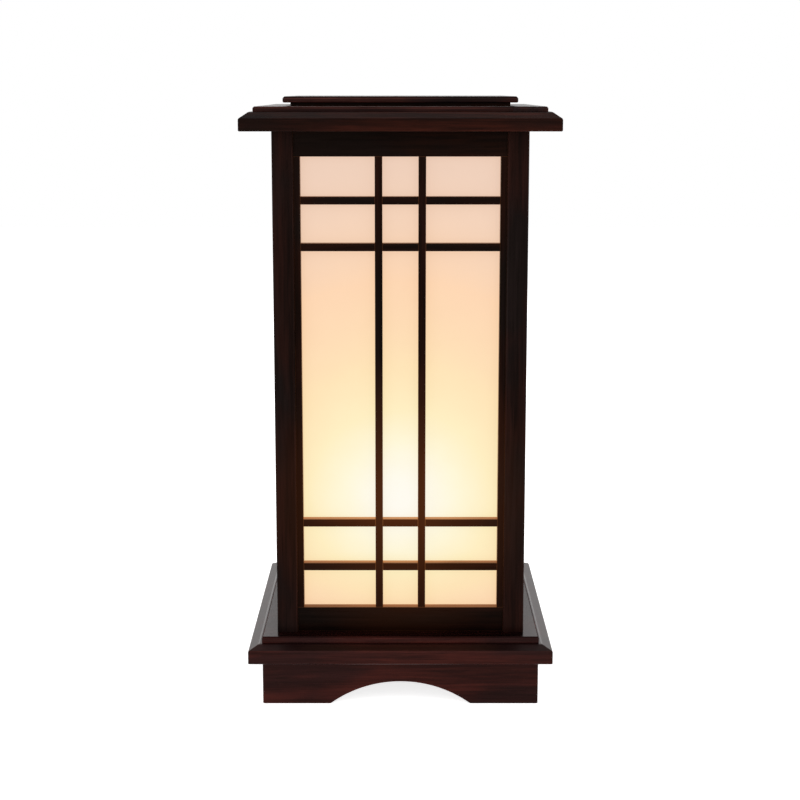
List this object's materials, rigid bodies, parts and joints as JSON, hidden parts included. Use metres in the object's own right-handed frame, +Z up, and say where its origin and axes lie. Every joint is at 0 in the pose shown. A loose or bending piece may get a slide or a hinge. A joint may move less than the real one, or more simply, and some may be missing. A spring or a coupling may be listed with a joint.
{
  "type": "shoji table lamp",
  "caption": "Square wooden table lamp with a moulded roof and base, lattice windows over glowing translucent panes and a lift-off lid above a screw-in bulb.",
  "frame": {"origin": "on the floor at the centre of the lamp, bottom centre of its box", "axes": "+Z up along the lamp's axis, the front looks to -Y, +X to the right seen from the front"},
  "size_m": [0.22, 0.22, 0.4344],
  "materials": {
    "dark_wood": "satin lacquer, dark red-brown",
    "raw_wood": "sawn, unfinished",
    "pane_sheet": "translucent, satin",
    "steel": "zinc plated",
    "brass": "bare",
    "tinned_metal": "plain",
    "rubber": "matte",
    "holder_plastic": "moulded",
    "holder_ceramic": "unglazed",
    "black_insulator": "glassy",
    "bulb_plastic": "matte",
    "bulb_frost": "frosted"
  },
  "bodies": {
    "lamp": {"apron_front": "dark_wood", "apron_right": "dark_wood", "apron_back": "dark_wood", "apron_left": "dark_wood", "corner_blocks": "raw_wood", "base_board": "dark_wood", "post_front_left": "dark_wood", "post_front_right": "dark_wood", "post_back_right": "dark_wood", "post_back_left": "dark_wood", "top_rail_front": "dark_wood", "bottom_rail_front": "dark_wood", "lattice_stiles_front": "dark_wood", "lattice_uprights_front": "dark_wood", "lattice_crossbars_front": "dark_wood", "top_rail_right": "dark_wood", "bottom_rail_right": "dark_wood", "lattice_stiles_right": "dark_wood", "lattice_uprights_right": "dark_wood", "lattice_crossbars_right": "dark_wood", "top_rail_back": "dark_wood", "bottom_rail_back": "dark_wood", "lattice_stiles_back": "dark_wood", "lattice_uprights_back": "dark_wood", "lattice_crossbars_back": "dark_wood", "top_rail_left": "dark_wood", "bottom_rail_left": "dark_wood", "lattice_stiles_left": "dark_wood", "lattice_uprights_left": "dark_wood", "lattice_crossbars_left": "dark_wood", "roof_board": "dark_wood", "roof_strip_front": "dark_wood", "roof_strip_right": "dark_wood", "roof_strip_back": "dark_wood", "roof_strip_left": "dark_wood", "pane_front": "pane_sheet", "pane_right": "pane_sheet", "pane_back": "pane_sheet", "pane_left": "pane_sheet", "base_screws": "steel", "roof_screws": "steel", "clamp_tube": "steel", "tube_washer": "steel", "tube_nut": "steel", "cord_grommet": "rubber", "holder_cap": "holder_plastic", "holder_sleeve": "holder_plastic", "holder_insert": "holder_ceramic", "holder_shell": "brass", "centre_contact": "brass"},
    "lid": {"lid_board": "dark_wood", "lid_strips_long": "dark_wood", "lid_strips_short": "dark_wood"},
    "bulb_carrier": {"bulb_button": "tinned_metal"},
    "bulb": {"bulb_insulator": "black_insulator", "bulb_cap": "tinned_metal", "bulb_housing": "bulb_plastic", "bulb_globe": "bulb_frost"}
  },
  "joints": [
    {"name": "lid_lift", "type": "slide", "parent": "lamp", "child": "lid", "axis": [0, 0, 1], "range_m": [0, 0.08]},
    {"name": "bulb_rise", "type": "slide", "parent": "lamp", "child": "bulb_carrier", "axis": [0, 0, 1], "range_m": [0, 0.011]},
    {"name": "bulb_turn", "type": "hinge", "parent": "bulb_carrier", "child": "bulb", "pos_m": [0, 0, 0.08], "axis": [0, 0, 1], "range_deg": [0, 1080]}
  ],
  "couplings": [
    {"joint": "bulb_rise", "follows": "bulb_turn", "m_per_rad": 0.00057757}
  ]
}
